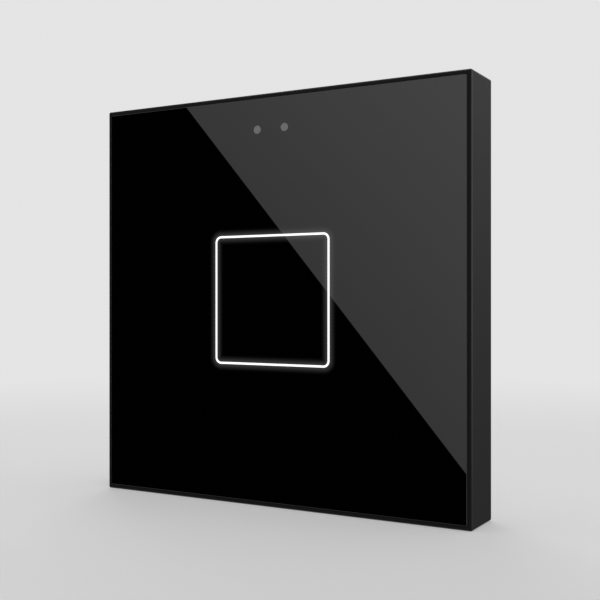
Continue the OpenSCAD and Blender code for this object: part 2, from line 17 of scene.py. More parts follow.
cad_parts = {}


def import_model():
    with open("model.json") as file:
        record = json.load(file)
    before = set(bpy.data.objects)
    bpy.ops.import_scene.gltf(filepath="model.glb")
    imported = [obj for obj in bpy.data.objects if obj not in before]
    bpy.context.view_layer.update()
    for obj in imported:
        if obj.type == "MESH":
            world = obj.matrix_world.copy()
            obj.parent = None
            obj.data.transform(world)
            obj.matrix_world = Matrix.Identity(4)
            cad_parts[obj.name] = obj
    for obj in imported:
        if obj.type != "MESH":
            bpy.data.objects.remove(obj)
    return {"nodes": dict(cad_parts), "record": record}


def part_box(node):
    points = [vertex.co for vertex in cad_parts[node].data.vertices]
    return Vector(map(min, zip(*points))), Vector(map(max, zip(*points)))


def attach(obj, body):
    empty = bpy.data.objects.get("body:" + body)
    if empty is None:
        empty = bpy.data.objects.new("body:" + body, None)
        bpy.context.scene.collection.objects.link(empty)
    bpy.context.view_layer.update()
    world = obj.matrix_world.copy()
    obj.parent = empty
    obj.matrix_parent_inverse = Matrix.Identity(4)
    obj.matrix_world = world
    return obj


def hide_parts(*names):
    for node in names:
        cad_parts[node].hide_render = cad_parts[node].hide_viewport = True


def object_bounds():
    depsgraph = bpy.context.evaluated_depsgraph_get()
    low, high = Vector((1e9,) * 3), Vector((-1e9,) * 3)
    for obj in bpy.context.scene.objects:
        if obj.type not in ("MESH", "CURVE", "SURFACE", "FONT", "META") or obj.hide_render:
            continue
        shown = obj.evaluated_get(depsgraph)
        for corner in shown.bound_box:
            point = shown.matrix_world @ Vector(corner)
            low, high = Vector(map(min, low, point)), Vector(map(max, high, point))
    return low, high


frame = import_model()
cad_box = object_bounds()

MM = 0.001
nodes = frame["nodes"]
record = frame["record"]
scene = bpy.context.scene
slot_of = {part["node"]: part["material_slot"] for part in record["subparts"]}
body_of = {name: body for body, names in record["behaviour"]["bodies"].items() for name in names}

# %% [markdown]
# ## The camera
# The photograph's straight edges run together, so it was taken from close by. A camera could be set by eye,
# but on a plain square every degree shows, so it was fitted to the measured edges. It stands level with the
# middle of the panel, to the right, and looks at it at about 31 degrees. The picture was cropped round the
# panel, so its middle is not where the lens pointed: lens shift moves it by that share of the picture's
# width.

# %% Camera at the photographer's place
camera_turn = math.radians(31.09)
camera_side = 98.4 * MM
camera_ahead = 171.1 * MM
camera_lens = 60.6
camera_shift = 0.0825
nearest_seen = 10 * MM


def put_in_scene(name, data):
    thing = bpy.data.objects.new(name, data)
    scene.collection.objects.link(thing)
    return thing


frame_low, frame_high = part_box("front_frame")
camera = put_in_scene("camera", bpy.data.cameras.new("camera"))
camera.data.lens = camera_lens
camera.data.shift_x = camera_shift
camera.data.clip_start = nearest_seen
camera.location = (camera_side, frame_low.y - camera_ahead, (frame_low.z + frame_high.z) / 2)
camera.rotation_euler = (math.pi / 2, 0, camera_turn)
scene.camera = camera
scene.view_settings.view_transform = "Standard"
print("panel width in mm:", round((frame_high.x - frame_low.x) / MM, 2))

# %% [markdown]
# ## Nodes in plain Python
# A finish or a shape can be a small network of nodes. It could be wired node by node, but then the idea is
# lost among the links. Written as arithmetic it stays readable: a Wire is one value on its way between two
# nodes, and adding or multiplying wires adds Math nodes.

# %% Wires
def arithmetic(operation):
    """The two methods of an operator, for a wire before it and for a wire behind it."""
    def before(wire, other):
        return wire.math(operation, wire, other)

    def behind(wire, other):
        return wire.math(operation, other, wire)

    return before, behind


class Wire:
    """One value between two nodes. Arithmetic on it adds Math nodes."""

    def __init__(self, sheet, socket):
        self.sheet = sheet
        self.socket = socket

    def math(self, operation, first, second=0.0):
        return self.sheet.node("ShaderNodeMath", {"operation": operation}, {0: first, 1: second})

    __add__, __radd__ = arithmetic("ADD")
    __sub__, __rsub__ = arithmetic("SUBTRACT")
    __mul__, __rmul__ = arithmetic("MULTIPLY")
    __truediv__, __rtruediv__ = arithmetic("DIVIDE")
    __pow__, __rpow__ = arithmetic("POWER")

    least = arithmetic("MINIMUM")[0]
    most = arithmetic("MAXIMUM")[0]
    over = arithmetic("GREATER_THAN")[0]

    def __neg__(self):
        return 0.0 - self

    def __abs__(self):
        return self.math("ABSOLUTE", self)

    def fraction(self):
        return self.math("FRACT", self)


print("made:", Wire.__doc__)

# %% [markdown]
# ## Sheets of nodes
# Every other node comes from Sheet.node, which sets the node's own settings first, because they can change
# what its sockets are. Materials, the world and Geometry Nodes could each have tools of their own, but
# their trees work alike, so one class serves them all.

# %% Sheets
class Sheet:
    """A node tree that grows by one node for each call."""

    def __init__(self, tree):
        self.tree = tree

    def plug(self, socket, value):
        for one in value if isinstance(value, list) else [value]:
            if isinstance(one, Wire):
                self.tree.links.new(one.socket, socket)
            else:
                socket.default_value = one

    def node(self, kind, settings=None, sockets=None, out=0):
        made = self.tree.nodes.new(kind)
        for name, value in (settings or {}).items():
            setattr(made, name, value)
        for name, value in (sockets or {}).items():
            self.plug(made.inputs[name], value)
        return Wire(self, made.outputs[out])

    def ramp(self, value, low, high, start=0.0, end=1.0):
        """Smooth change from start to end while value goes from low to high."""
        return self.node("ShaderNodeMapRange", {"interpolation_type": "SMOOTHSTEP"}, {
            "Value": value, "From Min": low, "From Max": high, "To Min": start, "To Max": end})

    def part_of(self, vector, letter):
        return self.node("ShaderNodeSeparateXYZ", sockets={0: vector}, out=letter)


print("made:", Sheet.__doc__)

# %% [markdown]
# ## Finishes
# A finish is a sheet with one shader. Its pattern could be a picture wrapped round the piece, but noise
# that reads the place on the object needs no unwrapping and stays fine from close by.

# %% Finishes and shades
class Finish(Sheet):
    """One material, with its Principled shader and the means to feed it."""

    def __init__(self, name):
        self.material = bpy.data.materials.new(name)
        self.material.use_nodes = True
        super().__init__(self.material.node_tree)
        self.shader = self.tree.nodes["Principled BSDF"]

    def set(self, sockets):
        for name, value in sockets.items():
            self.plug(self.shader.inputs[name], value)
        return self.material

    def surface(self, shader):
        self.plug(self.tree.nodes["Material Output"].inputs["Surface"], shader)
        return self.material

    def place(self):
        return self.node("ShaderNodeTexCoord", out="Object")

    def axis(self, letter):
        return self.part_of(self.place(), letter)

    def noise(self, size, detail=3.0, stretch=(1, 1, 1)):
        """Noise from 0 to 1 with blotches of about size metres, drawn out by stretch along X, Y and Z."""
        scale = tuple(1 / size / s for s in stretch)
        where = self.node("ShaderNodeMapping", sockets={"Vector": self.place(), "Scale": scale})
        return self.node("ShaderNodeTexNoise", sockets={"Vector": where, "Scale": 1.0, "Detail": detail})

    def blend(self, first, second, amount):
        """Colour between first and second."""
        return self.node("ShaderNodeMix", {"data_type": "RGBA"}, {0: amount, 6: first, 7: second}, out=2)

    def mottle(self, colour, darkest, lightest, amount):
        """A colour that varies between two shades of itself."""
        return self.blend(shade(colour, darkest), shade(colour, lightest), amount)

    def bump(self, height, depth):
        return self.node("ShaderNodeBump", sockets={"Distance": depth, "Height": height})


def shade(colour, factor=1.0):
    """A colour with alpha, made lighter or darker."""
    return tuple(channel * factor for channel in colour) + (1.0,)


def grey(level):
    return shade((level, level, level))


print("made:", Finish.__doc__)

# %% [markdown]
# ## Moulded plastics
# Most of the switch is moulded plastic, with the grain of its spark-eroded mould and a gloss that changes a
# little where the melt flowed. So fine a grain could be modelled, but a bump from noise looks the same and
# needs no faces. One function makes all the plastics. Small parts on the board have tinned ends: a mesh
# attribute called metal says which faces those are.

# %% One function for all plastics
flow_size = 9 * MM
flow_share = 0.7
flow_haze, pore_haze = 0.06, 0.04
plastic_shades = (0.9, 1.1)
tin = (0.68, 0.68, 0.67)
tin_roughness = 0.3
coat_roughness = 0.2
coat_ior = 1.6


def moulded(name, colour, roughness, grain=0.12 * MM, depth=0.004 * MM, gloss=0.5, tinned=False,
            polished=None):
    """Plastic with a grain. Polished is a function that says where it has a gloss coat, and how much."""
    finish = Finish(name)
    flow = finish.noise(flow_size, detail=4.0)
    pores = finish.noise(grain, detail=2.0)
    smoothest = roughness - (flow_haze + pore_haze) / 2
    values = {
        "Base Color": finish.mottle(colour, *plastic_shades, flow * flow_share + pores * (1 - flow_share)),
        "Roughness": smoothest + flow * flow_haze + pores * pore_haze,
        "Normal": finish.bump(pores, depth),
        "Specular IOR Level": gloss,
    }
    if tinned:
        metal = finish.node("ShaderNodeAttribute", {"attribute_name": "metal"}, out="Fac")
        values["Base Color"] = finish.blend(values["Base Color"], shade(tin), metal)
        values["Roughness"] = values["Roughness"] * (1 - metal) + metal * tin_roughness
        values["Metallic"] = metal
    if polished:
        values["Coat Weight"] = polished(finish)
        values["Coat Roughness"] = coat_roughness
        values["Coat IOR"] = coat_ior
    return finish.set(values)


print("darkest and lightest shade of a plastic:", plastic_shades)

# %% [markdown]
# ## The frame's polished edges
# The frame is matt, but the narrow bevel round its front and its four small corners are smoother and catch
# a line of light. Those faces could have a second material, but a clear coat that asks where it is needs no
# list of faces: on the bevel, which slants at 45 degrees, the way out and the way forward have their
# largest sum.

# %% Plastic finishes
frame_bevel = 0.15 * MM
frame_corner = 0.4 * MM
polish_room = 0.05 * MM
bevel_coat = 0.92
corner_coat = 0.25


def polished_edges(finish):
    """Gloss of the narrow bevel round the front of the frame, and a trace of it on the frame's corners."""
    across, up = abs(finish.axis("X")), abs(finish.axis("Z"))
    forward = across.most(up) - finish.axis("Y")
    bevel = forward.over(frame_high.x - frame_low.y - frame_bevel - polish_room)
    corner = across.least(up).over(frame_high.x - frame_corner)
    return (bevel * bevel_coat).most(corner * corner_coat)


finishes = {
    "frame_anthracite": moulded("anthracite frame", (0.032, 0.032, 0.0335), 0.55, gloss=0.06,
                                polished=polished_edges),
    "cover_black": moulded("rear cover", (0.024, 0.024, 0.026), 0.5, grain=0.3 * MM, depth=0.04 * MM),
    "inner_black": moulded("inner plastic", (0.012, 0.012, 0.012), 0.5),
    "boot_rubber": moulded("boot rubber", (0.015, 0.015, 0.015), 0.8, grain=0.06 * MM),
    "adhesive": moulded("adhesive foam", (0.02, 0.02, 0.02), 0.9, grain=0.25 * MM, depth=0.02 * MM),
    "led_body": moulded("LED resin", (0.75, 0.7, 0.5), 0.3, tinned=True),
    "chip_black": moulded("chip epoxy", (0.02, 0.02, 0.021), 0.6, grain=0.05 * MM, tinned=True),
    "sensor_clear": moulded("sensor resin", (0.55, 0.57, 0.55), 0.15),
    "capacitor_ochre": moulded("capacitor resin", (0.55, 0.33, 0.06), 0.35, tinned=True),
    "passive_tan": moulded("ceramic chip", (0.3, 0.2, 0.12), 0.4, grain=0.04 * MM, tinned=True),
    "pilot_red": moulded("pilot resin", (0.45, 0.03, 0.02), 0.2, tinned=True),
    "pipe_clear": moulded("light pipe", (0.62, 0.62, 0.6), 0.12),
    "button_red": moulded("button plastic", (0.38, 0.028, 0.024), 0.42),
    "terminal_red": moulded("terminal red", (0.42, 0.018, 0.016), 0.3),
    "terminal_grey": moulded("terminal grey", (0.06, 0.06, 0.066), 0.32),
}
print("plastic finishes:", len(finishes))

# %% [markdown]
# ## Metals
# The wall plate is rolled and zinc-plated sheet: streaks run along the rolling direction and the plating
# has soft blotches. Pins, magnets, springs and sleeves are drawn or plated parts with a finer haze.
# Anisotropy could give the streaks, but no blotches. Noise that is drawn out along one axis gives both.

# %% Metal finishes
cloud_size = 6 * MM
cloud_share = 0.6
cloud_haze, streak_haze = 0.1, 0.08
metal_polish = 0.08
metal_shades = (0.86, 1.06)
streak_depth = 0.004 * MM


def metal(name, colour, roughness, streak=(1, 1, 1), grain=0.3 * MM):
    finish = Finish(name)
    cloud = finish.noise(cloud_size, detail=5.0)
    lines = finish.noise(grain, stretch=streak)
    return finish.set({
        "Base Color": finish.mottle(colour, *metal_shades, cloud * cloud_share + lines * (1 - cloud_share)),
        "Metallic": 1.0,
        "Roughness": roughness - metal_polish + cloud * cloud_haze + lines * streak_haze,
        "Normal": finish.bump(lines, streak_depth),
    })


finishes.update({
    "plate_steel": metal("zinc-plated sheet", (0.62, 0.63, 0.64), 0.36, streak=(30, 1, 1)),
    "pin_tin": metal("tinned pin", tin, 0.25, streak=(1, 12, 1), grain=0.08 * MM),
    "magnet_nickel": metal("nickel plating", (0.66, 0.63, 0.58), 0.16, grain=0.15 * MM),
    "screw_zinc": metal("black zinc", (0.12, 0.12, 0.13), 0.38, grain=0.1 * MM),
    "copper_foil": metal("copper foil", (0.78, 0.4, 0.26), 0.35, streak=(20, 1, 1)),
    "spring_gilt": metal("gilt strip", (0.85, 0.65, 0.3), 0.22),
    "sleeve_brass": metal("drawn brass", (0.74, 0.56, 0.25), 0.28, streak=(1, 15, 1), grain=0.1 * MM),
})
print("finishes with the metals:", len(finishes))

# %% [markdown]
# ## The front glass
# Polished glass over black print is one black mirror. It could be clear glass over a black sheet, but an
# opaque shader shows the same without the noise of refraction. A trace of haze keeps its reflections
# natural. The ground edge is frosted and shows as a fine grey line. Next to the lit line the print lets a
# little light through: this soft glow is worked out from the distance to a square with round corners, so it
# follows the line everywhere.

# %% Printed glass and ground edge
line_side = 25.2 * MM
line_width = 0.4 * MM
line_corner = 1.1 * MM
glow_reach = 1.6 * MM
glow_level = 0.05
glow_fall = 2.5
print_greys = (0.001, 0.002)
speck_size = 0.4 * MM
haze_size = 14 * MM
most_haze = 0.012
glass_ior = 1.5
edge_frost = (0.1, 0.102, 0.102)
frost_size = 0.3 * MM
frost_shades = (0.85, 1.15)
frost_roughness, frost_haze = 0.4, 0.06
frost_gloss = 0.2


def line_distance(finish):
    """Distance from the middle of the lit line, below zero inside the square."""
    straight = line_side / 2 - line_corner
    across = abs(finish.axis("X")) - straight
    up = abs(finish.axis("Z")) - straight
    past_corner = (across.most(0.0) ** 2 + up.most(0.0) ** 2) ** 0.5
    return past_corner + across.most(up).least(0.0) - line_corner


def printed_glass():
    finish = Finish("printed glass")
    gap = (abs(line_distance(finish)) - line_width / 2).most(0.0)
    glow = (1 - gap / glow_reach).most(0.0) ** glow_fall * glow_level
    return finish.set({
        "Base Color": finish.blend(*map(grey, print_greys), finish.noise(speck_size)),
        "Roughness": finish.noise(haze_size, detail=5.0) * most_haze,
        "IOR": glass_ior,
        "Emission Color": finish.blend(grey(0), grey(1), glow),
        "Emission Strength": 1.0,
    })


def ground_edge():
    finish = Finish("ground glass edge")
    frost = finish.noise(frost_size)
    return finish.set({
        "Base Color": finish.mottle(edge_frost, *frost_shades, frost),
        "Roughness": frost_roughness + frost * frost_haze,
        "Specular IOR Level": frost_gloss,
    })


finishes["front_glass"] = ground_edge()
finishes["film_black"] = moulded("black print", (0.002, 0.002, 0.002), 0.5, grain=0.2 * MM)
black_mirror = printed_glass()
print("line side in mm:", round(line_side / MM, 2), "glow reach in mm:", round(glow_reach / MM, 2))

# %% [markdown]
# ## The lit line and the sensor windows
# Behind the glass a milky guide spreads the light of small LEDs, and the print leaves only a thin square
# line of it clear. Lamps inside could light it, but most of their light would end in the black parts around
# it, so the guide glows by itself. Two round windows in the print look grey.

# %% Lit guide and windows
line_level = 1.12
milk_size = 2 * MM
milk_colours = ((0.85, 0.85, 0.84), (0.9, 0.9, 0.9))
light_colours = ((0.97, 0.98, 1.0), (1.0, 1.0, 1.0))
milk_roughness, milk_haze = 0.1, 0.1
window_colours = ((0.42, 0.42, 0.426), (0.5, 0.5, 0.506))
window_grain = 0.3 * MM
window_haze = 0.03


def lit_guide():
    finish = Finish("lit guide")
    milk = finish.noise(milk_size)
    return finish.set({
        "Base Color": finish.blend(*map(shade, milk_colours), milk),
        "Roughness": milk_roughness + milk * milk_haze,
        "Emission Color": finish.blend(*map(shade, light_colours), milk),
        "Emission Strength": line_level,
    })


def sensor_window():
    finish = Finish("sensor window")
    haze = finish.noise(window_grain)
    return finish.set({
        "Base Color": finish.blend(*map(shade, window_colours), haze),
        "Roughness": haze * window_haze,
    })


finishes["guide_milky"] = lit_guide()
finishes["sensor_window"] = sensor_window()
for glowing in (finishes["guide_milky"], black_mirror):
    glowing.cycles.emission_sampling = "NONE"
print("strength of the lit line:", line_level)

# %% [markdown]
# ## The circuit board
# Solder mask is a glossy green lacquer with the copper below as lighter lines, and the cut edge shows the
# glass-fibre. Tracks could be drawn as curves, but little of the board shows through the vent slots: two
# grids of narrow bands, broken up by noise, are enough.

# %% Solder mask
lacquer_green = (0.012, 0.075, 0.035)
track_green = (0.03, 0.15, 0.07)
fibre_yellow = (0.42, 0.38, 0.2)
track_pitch = 1.3 * MM
track_share = 0.3
track_length = 4 * MM
track_stretch = 6
track_gaps = 0.52
track_height = 0.02 * MM
fibre_edge = 0.05 * MM
mask_roughness, track_polish, fibre_haze = 0.3, 0.05, 0.4


def solder_mask():
    finish = Finish("solder mask")
    board_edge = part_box("circuit_board")[1]
    bands = []
    for letter, stretch in (("X", (1, 1, track_stretch)), ("Z", (track_stretch, 1, 1))):
        broken = finish.noise(track_length, stretch=stretch).over(track_gaps)
        band = (track_share - (finish.axis(letter) / track_pitch).fraction()).over(0.0)
        bands.append(band * broken)
    tracks = bands[0].most(bands[1])
    lacquer = finish.blend(shade(lacquer_green), shade(track_green), tracks)
    cut_x = abs(finish.axis("X")).over(board_edge.x - fibre_edge)
    cut_z = abs(finish.axis("Z")).over(board_edge.z - fibre_edge)
    cut = cut_x.most(cut_z)
    return finish.set({
        "Base Color": finish.blend(lacquer, shade(fibre_yellow), cut),
        "Roughness": mask_roughness - tracks * track_polish + cut * fibre_haze,
        "Normal": finish.bump(tracks, track_height),
    })


finishes["board_green"] = solder_mask()
print("track width in mm:", round(track_pitch * track_share / MM, 2))

# %% [markdown]
# ## The crystal and the choke
# The crystal is a metal can on a ceramic base, and the choke is a ferrite drum with copper wire between its
# two flanges. Each is one solid. Its faces could be sorted by hand, but the height above the board tells
# the finishes apart just as well.

# %% Crystal and choke finishes
ceramic = (0.3, 0.27, 0.22)
can_metal = (0.66, 0.66, 0.64)
can_from = 0.5
ceramic_roughness, can_polish, can_haze = 0.4, 0.15, 0.08
can_grain = 0.5 * MM
ferrite_grey = (0.045, 0.045, 0.05)
wire_copper = (0.6, 0.24, 0.1)
wound_from, wound_to = 0.26, 0.74
wire_pitch = 0.12 * MM
wire_depth = 0.03 * MM
ferrite_roughness, wire_polish, grit_haze = 0.55, 0.25, 0.1
grit_size = 0.08 * MM
grit_share = 0.1


def height_share(finish, node):
    """0 on the board and 1 on the outer face of a part."""
    low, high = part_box(node)
    return (finish.axis("Y") - low.y) / (high.y - low.y)


def crystal_can():
    finish = Finish("crystal can")
    haze = finish.noise(can_grain)
    can = height_share(finish, "crystal").over(can_from)
    return finish.set({
        "Base Color": finish.blend(shade(ceramic), shade(can_metal), can),
        "Metallic": can,
        "Roughness": ceramic_roughness - can * can_polish + haze * can_haze,
    })


def wound_ferrite():
    finish = Finish("wound ferrite")
    height = height_share(finish, "bus_choke")
    wound = height.over(wound_from) * (wound_to - height).over(0.0)
    turns = abs((finish.axis("Y") / wire_pitch).fraction() - 0.5)
    grit = finish.noise(grit_size)
    return finish.set({
        "Base Color": finish.blend(shade(ferrite_grey), shade(wire_copper), wound),
        "Metallic": wound,
        "Roughness": ferrite_roughness - wound * wire_polish + grit * grit_haze,
        "Normal": finish.bump(wound * turns + grit * grit_share, wire_depth),
    })


finishes["can_metal"] = crystal_can()
finishes["ferrite"] = wound_ferrite()
print("finishes:", len(finishes), "slots without a finish:", sorted(set(slot_of.values()) - set(finishes)))

# %% [markdown]
# ## Finishes on the solids
# Most pieces inside are plain forms, and their solids already have the right shape. They could be copied
# and dressed, but it is simpler to let them stay and give them the finish of their slot. A new piece that
# stands for a solid hides it, takes over its body and wears the finish of its slot.

# %% Dress the nodes
for name, node in nodes.items():
    node.data.materials.clear()
    node.data.materials.append(finishes[slot_of[name]])


def stand_for(piece, node):
    """The piece takes the place of a solid."""
    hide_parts(node)
    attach(piece, body_of[node])
    return piece


print("dressed:", len(nodes))

# %% [markdown]
# ## Rounded edges
# No moulded or stamped edge is perfectly sharp, and the bright line along a rounded edge makes a small
# thing look real. A Bevel node in the shader could fake it, but the mesh would stay sharp. A solid's mesh
# is loose triangles, so a copy is welded, its flat areas are joined, and a Bevel modifier rounds the rest.
# Weighted normals keep flat faces flat. The modifiers are applied at once, so each piece is a plain mesh.

# %% Weld, round and settle
same_point = 0.002 * MM
flat_angle = math.radians(1)
curve_angle = math.radians(35)
round_steps = 2


def welded(node):
    """Copy of a node's mesh whose triangles share their corners."""
    shape = bmesh.new()
    shape.from_mesh(nodes[node].data)
    bmesh.ops.remove_doubles(shape, verts=shape.verts, dist=same_point)
    return shape


def merged(node):
    """Copy of a node's mesh with its triangles joined into flat faces."""
    shape = welded(node)
    bmesh.ops.dissolve_limit(shape, angle_limit=flat_angle, verts=shape.verts, edges=shape.edges)
    return shape


def mesh_of(shape, name, *dress):
    """Plain mesh of a finished shape, with its finishes."""
    mesh = bpy.data.meshes.new(name)
    shape.to_mesh(mesh)
    shape.free()
    for finish in dress:
        mesh.materials.append(finish)
    return mesh


def round_edges(piece, width, by_weight=False):
    bevel = piece.modifiers.new("rounded edges", "BEVEL")
    bevel.width = width
    bevel.segments = round_steps
    bevel.limit_method = "WEIGHT" if by_weight else "ANGLE"
    bevel.angle_limit = curve_angle
    bevel.use_clamp_overlap = False
    bevel.loop_slide = False
    piece.modifiers.new("flat faces", "WEIGHTED_NORMAL").keep_sharp = True


def settle(piece):
    """Applies a piece's modifiers, so that it is a plain mesh."""
    graph = bpy.context.evaluated_depsgraph_get()
    mesh = bpy.data.meshes.new_from_object(piece.evaluated_get(graph))
    piece.modifiers.clear()
    piece.data = mesh
    return piece


print("corners closer than this are one, in mm:", same_point / MM)

# %% Round the pieces that can be seen
outer_band = 0.1 * MM
bevel_edge, square_edge = 30, 60
edge_widths = {
    "front_frame": 0.08 * MM,
    "rear_cover": 0.1 * MM,
    "mounting_plate": 0.12 * MM,
    "terminal_plus": 0.1 * MM,
    "terminal_minus": 0.1 * MM,
    "program_button": 0.15 * MM,
    "magnets": 0.2 * MM,
    "bus_header": 0.1 * MM,
}
inner_shares = {"front_frame": 0.6}


def rounded(node, width, inner_share):
    """Copy of a node with rounded edges, narrower by inner_share away from its outer box."""
    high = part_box(node)[1]
    shape = merged(node)
    weight = shape.edges.layers.float.new("bevel_weight_edge")
    for edge in shape.edges:
        middle = (edge.verts[0].co + edge.verts[1].co) / 2
        inset = sorted((high.x - abs(middle.x), high.z - abs(middle.z)))
        outer = inset[0] < outer_band or inset[1] < frame_corner
        angle = math.degrees(edge.calc_face_angle(0.0))
        edge[weight] = (angle > square_edge) * (1.0 if outer else inner_share)
        edge.smooth = not bevel_edge < angle <= square_edge
    piece = put_in_scene("rounded_" + node, mesh_of(shape, node, finishes[slot_of[node]]))
    piece.data.shade_smooth()
    round_edges(piece, width, by_weight=True)
    return stand_for(settle(piece), node)


for node, width in edge_widths.items():
    piece = rounded(node, width, inner_shares.get(node, 1.0))
    print("rounded:", node, "faces:", len(piece.data.polygons))

# %% [markdown]
# ## The pane
# The lit line and the two sensor windows are gaps in the print behind the glass. A pattern in the material
# could draw them, but as faces of their own they have crisp edges from any distance. So a copy of the pane
# gets a new front with those faces, and the black field between them is filled with triangles. One function
# draws the square, wider for the outside of the line and narrower for its inside.

# %% Outlines on the pane
window_width = 1.6 * MM
window_steps = 40
corner_steps = 12
pipes_low, pipes_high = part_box("sensor_light_pipes")
window_z = (pipes_low.z + pipes_high.z) / 2
window_x = pipes_high.x - (pipes_high.z - pipes_low.z) / 2


def arc(x, z, radius, start, turn, steps):
    """Points on an arc, with angles in quarter turns."""
    angles = [(start + turn * step / steps) * math.pi / 2 for step in range(steps + 1)]
    return [(x + radius * math.cos(angle), z + radius * math.sin(angle)) for angle in angles]


def square_outline(grow):
    """Points of the lit square, with its middle line moved out by grow."""
    straight = line_side / 2 - line_corner
    corners = ((1, 1), (-1, 1), (-1, -1), (1, -1))
    return [point for quarter, (x, z) in enumerate(corners)
            for point in arc(x * straight, z * straight, line_corner + grow, quarter, 1, corner_steps)]


def window_outline(x):
    return arc(x, window_z, window_width / 2, 0, 4, window_steps)[:-1]


print("windows apart in mm:", round(2 * window_x / MM, 2), "points of the square:", len(square_outline(0)))

# %% Pane with the lit line and the windows
EDGE, FIELD, LINE, WINDOW = range(4)
pane_dress = (finishes["front_glass"], black_mirror, finishes["guide_milky"], finishes["sensor_window"])
front_tilt = -0.9


def cut_pane():
    shape = merged("front_glass")
    front = min(shape.faces, key=lambda face: face.calc_center_median().y)
    front_y = front.calc_center_median().y
    border = list(front.edges)
    bmesh.ops.delete(shape, geom=[front], context="FACES_ONLY")

    def corners(points):
        return [shape.verts.new((x, front_y, z)) for x, z in points]

    def sides(loop):
        return list(zip(loop, loop[1:] + loop[:1]))

    outside = corners(square_outline(line_width / 2))
    inside = corners(square_outline(-line_width / 2))
    windows = [corners(window_outline(x)) for x in (-window_x, window_x)]
    holes = [shape.edges.new(side) for loop in (outside, *windows) for side in sides(loop)]
    bmesh.ops.triangle_fill(shape, use_beauty=True, edges=border + holes, normal=(0, -1, 0))
    line = [shape.faces.new((a, b, d, c)) for (a, b), (c, d) in zip(sides(outside), sides(inside))]
    inner = shape.faces.new(inside)
    eyes = [shape.faces.new(loop) for loop in windows]
    bmesh.ops.recalc_face_normals(shape, faces=shape.faces)
    for face in shape.faces:
        face.material_index = FIELD if face.normal.y < front_tilt else EDGE
    for index, faces in ((FIELD, [inner]), (LINE, line), (WINDOW, eyes)):
        for face in faces:
            face.material_index = index
    return mesh_of(shape, "front_pane", *pane_dress)


pane = stand_for(put_in_scene("front_pane", cut_pane()), "front_glass")
print("pane faces:", len(pane.data.polygons), "finishes:", [finish.name for finish in pane_dress])

# %% [markdown]
# ## Polarity marks
# An electrician has to see which pole of the bus terminal is which, so the cover has a raised plus and
# minus beside it. They could be text, but that depends on a font. Each is an outline that is filled and
# pushed out, which gives closed forms with few faces.

# %% Raised plus and minus
mark_arm = 1.3 * MM
mark_half = 0.3 * MM
mark_gap = 3.0 * MM
mark_height = 0.2 * MM
mark_rounding = 0.06 * MM

terminal_low, terminal_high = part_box("terminal_plus")
cover_back_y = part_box("program_light_pipe")[1].y
mark_x = terminal_high.x + mark_gap
mark_z = (terminal_low.z + terminal_high.z) / 2

bar = [(-mark_arm, -mark_half), (mark_arm, -mark_half), (mark_arm, mark_half), (-mark_arm, mark_half)]
arm = [(mark_half, mark_half), (mark_half, mark_arm), (-mark_half, mark_arm)]
cross = []
for quarter in range(4):
    cross.extend(arm)
    arm = [(-z, x) for x, z in arm]

marks = bmesh.new()
for outline, side in ((cross, 1), (bar, -1)):
    corners = [marks.verts.new((side * mark_x + x, cover_back_y, mark_z + z)) for x, z in outline]
    face = marks.faces.new(corners)
    for pushed in bmesh.ops.extrude_face_region(marks, geom=[face])["geom"]:
        if isinstance(pushed, bmesh.types.BMVert):
            pushed.co.y += mark_height
bmesh.ops.recalc_face_normals(marks, faces=marks.faces)
marks_piece = put_in_scene("polarity_marks", mesh_of(marks, "polarity_marks", finishes["cover_black"]))
round_edges(marks_piece, mark_rounding)
settle(marks_piece)
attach(marks_piece, "panel")
print("marks faces:", len(marks_piece.data.polygons))

# %% [markdown]
# ## What repeats
# Screws, LEDs and the small parts on the board repeat. Each could be a copied object, but a Geometry Nodes
# recipe builds one from a few sizes and puts a copy on each point, so a change reaches them all. A recipe
# works lying flat, and its result is then turned to face the right way.

# %% Recipes
class Recipe(Sheet):
    """A Geometry Nodes tree that puts a shape on points."""

    def __init__(self, name):
        super().__init__(bpy.data.node_groups.new(name, "GeometryNodeTree"))
        self.tree.interface.new_socket("Shape", in_out="OUTPUT", socket_type="NodeSocketGeometry")
        self.points = self.take("Points", "NodeSocketGeometry")

    def take(self, name, kind="NodeSocketFloat"):
        """A named input of the recipe."""
        self.tree.interface.new_socket(name, in_out="INPUT", socket_type=kind)
        return self.node("NodeGroupInput", out=name)

    def sizes(self, *names):
        return [self.take(name) for name in names]

    def vector(self, x, y, z):
        return self.node("ShaderNodeCombineXYZ", sockets={0: x, 1: y, 2: z})

    def box(self, length, width, height, x=0.0, z=0.0):
        """Box with its middle at x and its foot at z."""
        cube = self.node("GeometryNodeMeshCube", sockets={"Size": self.vector(length, width, height)})
        return self.move(cube, self.vector(x, 0.0, height / 2 + z))

    def move(self, shape, by, turn=0.0):
        return self.node("GeometryNodeTransform", sockets={
            "Geometry": shape, "Translation": by, "Rotation": (0, 0, turn)})

    def join(self, *shapes):
        return self.node("GeometryNodeJoinGeometry", sockets={0: list(shapes)})

    def tinned(self, shape):
        """Marks a shape's faces as metal."""
        return self.node("GeometryNodeStoreNamedAttribute", {"data_type": "FLOAT", "domain": "FACE"}, {
            "Geometry": shape, "Name": "metal", "Value": 1.0})

    def serve(self, shape):
        """Copies the shape to the points, makes it real and gives it its finish."""
        turn = self.node("GeometryNodeInputNamedAttribute", {"data_type": "FLOAT"}, {"Name": "turn"})
        copies = self.node("GeometryNodeInstanceOnPoints", sockets={
            "Points": self.points, "Instance": shape, "Rotation": self.vector(0.0, 0.0, turn)})
        solid = self.node("GeometryNodeRealizeInstances", sockets={0: copies})
        dressed = self.node("GeometryNodeSetMaterial", sockets={
            "Geometry": solid, "Material": self.take("Finish", "NodeSocketMaterial")})
        self.plug(self.tree.nodes.new("NodeGroupOutput").inputs[0], dressed)
        return self.tree


print("made:", Recipe.__doc__)

